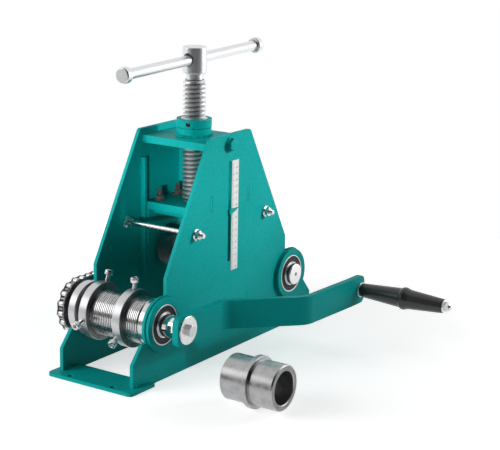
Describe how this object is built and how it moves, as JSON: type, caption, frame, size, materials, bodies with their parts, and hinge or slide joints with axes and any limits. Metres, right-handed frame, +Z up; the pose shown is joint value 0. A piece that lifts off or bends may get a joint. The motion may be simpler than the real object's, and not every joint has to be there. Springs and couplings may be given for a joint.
{
  "type": "ring roller",
  "caption": "Hand-cranked ring roller: two chain-driven rollers between teal side plates, a screw-fed press roller above them, a bent crank with a black grip and a spare sleeve beside it.",
  "frame": {"origin": "centre of the underside of the front foot plate, on the bench", "axes": "+Z up; +X along the machine from the front foot to the rear foot; -Y towards the crank side, +Y towards the chain side"},
  "size_m": [0.5244, 0.4749, 0.479],
  "materials": {
    "teal_paint": "satin enamel over rolled steel plate",
    "bright_steel": "zinc plated or ground bright",
    "turned_steel": "bare turned steel",
    "dark_steel": "oiled dark steel",
    "black_plastic": "glossy",
    "white_print": "printed label"
  },
  "bodies": {
    "frame": {"side_plate_near": "teal_paint", "side_plate_far": "teal_paint", "foot_plate_front": "teal_paint", "foot_plate_rear": "teal_paint", "top_cross_plate": "teal_paint", "cross_bolt_near": "teal_paint", "cross_bolt_far": "teal_paint", "guide_rail_near": "teal_paint", "guide_rail_far": "teal_paint", "rear_guide_plate": "teal_paint", "tie_rod_front": "bright_steel", "tie_rod_rear": "bright_steel", "scale_strip": "white_print", "bearing_housing_front_near": "teal_paint", "bearing_housing_rear_near": "teal_paint", "bearing_housing_rear_far": "teal_paint", "bearing_housing_front_far": "turned_steel", "bearing_front_near": "bright_steel", "bearing_front_far": "bright_steel", "bearing_rear_near": "bright_steel", "bearing_rear_far": "bright_steel", "drive_chain": "dark_steel", "screw_boss": "teal_paint", "press_nut": "teal_paint", "nut_set_screw": "bright_steel", "spare_sleeve": "turned_steel"},
    "carriage": {"carriage_top_plate": "teal_paint", "retaining_plate": "teal_paint", "carriage_stud_1": "dark_steel", "carriage_stud_2": "dark_steel", "carriage_stud_3": "dark_steel", "carriage_stud_4": "dark_steel", "carriage_cheek_near": "teal_paint", "carriage_cheek_far": "teal_paint", "scale_pointer": "teal_paint", "press_roller_axle": "bright_steel"},
    "screw": {"press_screw": "bright_steel", "screw_retaining_ring": "bright_steel"},
    "bar": {"tommy_bar": "bright_steel", "bar_cap_front": "bright_steel", "bar_cap_rear": "bright_steel"},
    "front_drive": {"front_shaft": "bright_steel", "front_roller_sleeve": "bright_steel", "front_sprocket": "dark_steel", "crank_arm": "teal_paint", "crank_key": "bright_steel", "crank_washer": "bright_steel", "crank_bolt": "bright_steel", "grip_washer": "bright_steel", "grip_bolt": "bright_steel"},
    "rear_drive": {"rear_shaft": "bright_steel", "rear_roller_sleeve": "bright_steel", "rear_sprocket": "dark_steel"},
    "grip": {"crank_grip": "black_plastic"},
    "press_roll": {"press_roller": "dark_steel"},
    "collar_front_near": {"front_collar_near": "turned_steel"},
    "collar_front_far": {"front_collar_far": "turned_steel"},
    "collar_rear_near": {"rear_collar_near": "turned_steel"},
    "collar_rear_far": {"rear_collar_far": "turned_steel"}
  },
  "joints": [
    {"name": "carriage_slide", "type": "slide", "parent": "frame", "child": "carriage", "axis": [0, 0, 1], "range_m": [-0.069, 0.07]},
    {"name": "screw_spin", "type": "hinge", "parent": "carriage", "child": "screw", "pos_m": [0.2332, 0, 0.2215], "axis": [0, 0, 1], "range_deg": [-3600, 3650]},
    {"name": "tommy_bar_slide", "type": "slide", "parent": "screw", "child": "bar", "axis": [-0.9996, 0, -0.0279], "range_m": [-0.149, 0.143]},
    {"name": "crank_turn", "type": "hinge", "parent": "frame", "child": "front_drive", "pos_m": [0.0584, 0, 0.0881], "axis": [0, -1, 0], "continuous": true},
    {"name": "rear_drive_turn", "type": "hinge", "parent": "frame", "child": "rear_drive", "pos_m": [0.408, 0, 0.0881], "axis": [0, -1, 0], "continuous": true},
    {"name": "grip_turn", "type": "hinge", "parent": "front_drive", "child": "grip", "pos_m": [0.4012, 0, 0.0861], "axis": [0, -1, 0], "continuous": true},
    {"name": "press_roller_turn", "type": "hinge", "parent": "carriage", "child": "press_roll", "pos_m": [0.2332, 0, 0.157], "axis": [0, -1, 0], "continuous": true},
    {"name": "front_collar_near_slide", "type": "slide", "parent": "front_drive", "child": "collar_front_near", "axis": [0, 1, 0], "range_m": [-0.026, 0.022]},
    {"name": "front_collar_far_slide", "type": "slide", "parent": "front_drive", "child": "collar_front_far", "axis": [0, 1, 0], "range_m": [-0.022, 0.008]},
    {"name": "rear_collar_near_slide", "type": "slide", "parent": "rear_drive", "child": "collar_rear_near", "axis": [0, 1, 0], "range_m": [-0.026, 0.022]},
    {"name": "rear_collar_far_slide", "type": "slide", "parent": "rear_drive", "child": "collar_rear_far", "axis": [0, 1, 0], "range_m": [-0.022, 0.008]}
  ],
  "couplings": [
    {"joint": "screw_spin", "follows": "carriage_slide", "rad_per_m": 897.6},
    {"joint": "rear_drive_turn", "follows": "crank_turn", "ratio": 1}
  ]
}
